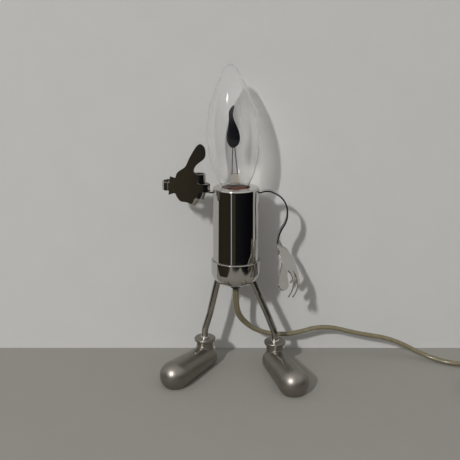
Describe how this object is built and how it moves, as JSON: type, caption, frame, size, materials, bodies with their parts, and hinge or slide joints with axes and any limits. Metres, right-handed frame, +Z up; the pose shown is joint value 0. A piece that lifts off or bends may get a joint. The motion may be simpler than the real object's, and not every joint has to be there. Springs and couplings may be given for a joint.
{
  "type": "desk lamp",
  "caption": "Small chrome figure lamp: a can body on rod legs in cast boots, sheet-metal arms with gloved hands, and a clear candle bulb with a flame-shaped plate.",
  "frame": {"origin": "on the floor, under the middle of the lamp's own box, the cord, its coil and its plug left out", "axes": "+Z up, -Y towards the front of the boots, +X to the right as seen from the front"},
  "size_m": [0.3384, 0.0822, 0.2153],
  "materials": {
    "chrome": "mirror plated",
    "nickel_rod": "plated, bright",
    "washers": "plated, bright",
    "boots": "plated, satin",
    "zinc_tube": "zinc plated",
    "bushing": "matt",
    "moulding": "moulded, semi gloss",
    "contact_brass": "stamped",
    "screw_steel": "zinc plated",
    "wire_cover": "moulded",
    "cap_metal": "plated",
    "cap_insulator": "glazed",
    "solder": "solder",
    "clear_glass": "clear",
    "stem_glass": "pressed",
    "lead_wire": "drawn",
    "dark_electrode": "matt, coated",
    "cord_cover": "translucent, smooth",
    "plug_moulding": "moulded",
    "plug_pin_metal": "nickel plated"
  },
  "bodies": {
    "figure": {"body_can": "chrome", "base_cup": "chrome", "leg_left": "nickel_rod", "leg_right": "nickel_rod", "nipple_nut": "nickel_rod", "washer_left": "washers", "washer_right": "washers", "threaded_nipple": "zinc_tube", "cord_bushing": "bushing", "lampholder_base": "moulding", "lampholder_barrel": "moulding", "lampholder_thread_shell": "contact_brass", "lampholder_contact": "contact_brass", "terminal_blocks": "contact_brass", "terminal_screws": "screw_steel", "supply_wires": "wire_cover", "cord": "cord_cover", "cord_coil": "cord_cover", "cord_tail": "cord_cover", "plug_body": "plug_moulding", "plug_pins": "plug_pin_metal"},
    "bulb": {"bulb_cap": "cap_metal", "bulb_insulator": "cap_insulator", "bulb_tip_contact": "solder", "bulb_glass": "clear_glass", "bulb_stem": "stem_glass", "bulb_leads": "lead_wire", "flame_plate_front": "dark_electrode", "flame_plate_back": "dark_electrode"},
    "arm_left": {"arm_left": "chrome"},
    "arm_right": {"arm_right": "chrome"},
    "boot_left": {"boot_left": "boots"},
    "boot_right": {"boot_right": "boots"}
  },
  "joints": [
    {"name": "bulb_turn", "type": "hinge", "parent": "figure", "child": "bulb", "pos_m": [0.0016, 0.0175, 0.115], "axis": [0, 0, 1], "continuous": true},
    {"name": "arm_left_rock", "type": "hinge", "parent": "figure", "child": "arm_left", "pos_m": [-0.014, 0.0175, 0.1299], "axis": [0, 1, 0], "range_deg": [-8, 8]},
    {"name": "arm_right_rock", "type": "hinge", "parent": "figure", "child": "arm_right", "pos_m": [0.0172, 0.0175, 0.1299], "axis": [0, 1, 0], "range_deg": [-8, 8]},
    {"name": "boot_left_turn", "type": "hinge", "parent": "figure", "child": "boot_left", "pos_m": [-0.0208, 0.0175, 0.015], "axis": [0, 0, 1], "range_deg": [-35, 35]},
    {"name": "boot_right_turn", "type": "hinge", "parent": "figure", "child": "boot_right", "pos_m": [0.03, 0.0115, 0.015], "axis": [0, 0, 1], "range_deg": [-35, 35]}
  ]
}
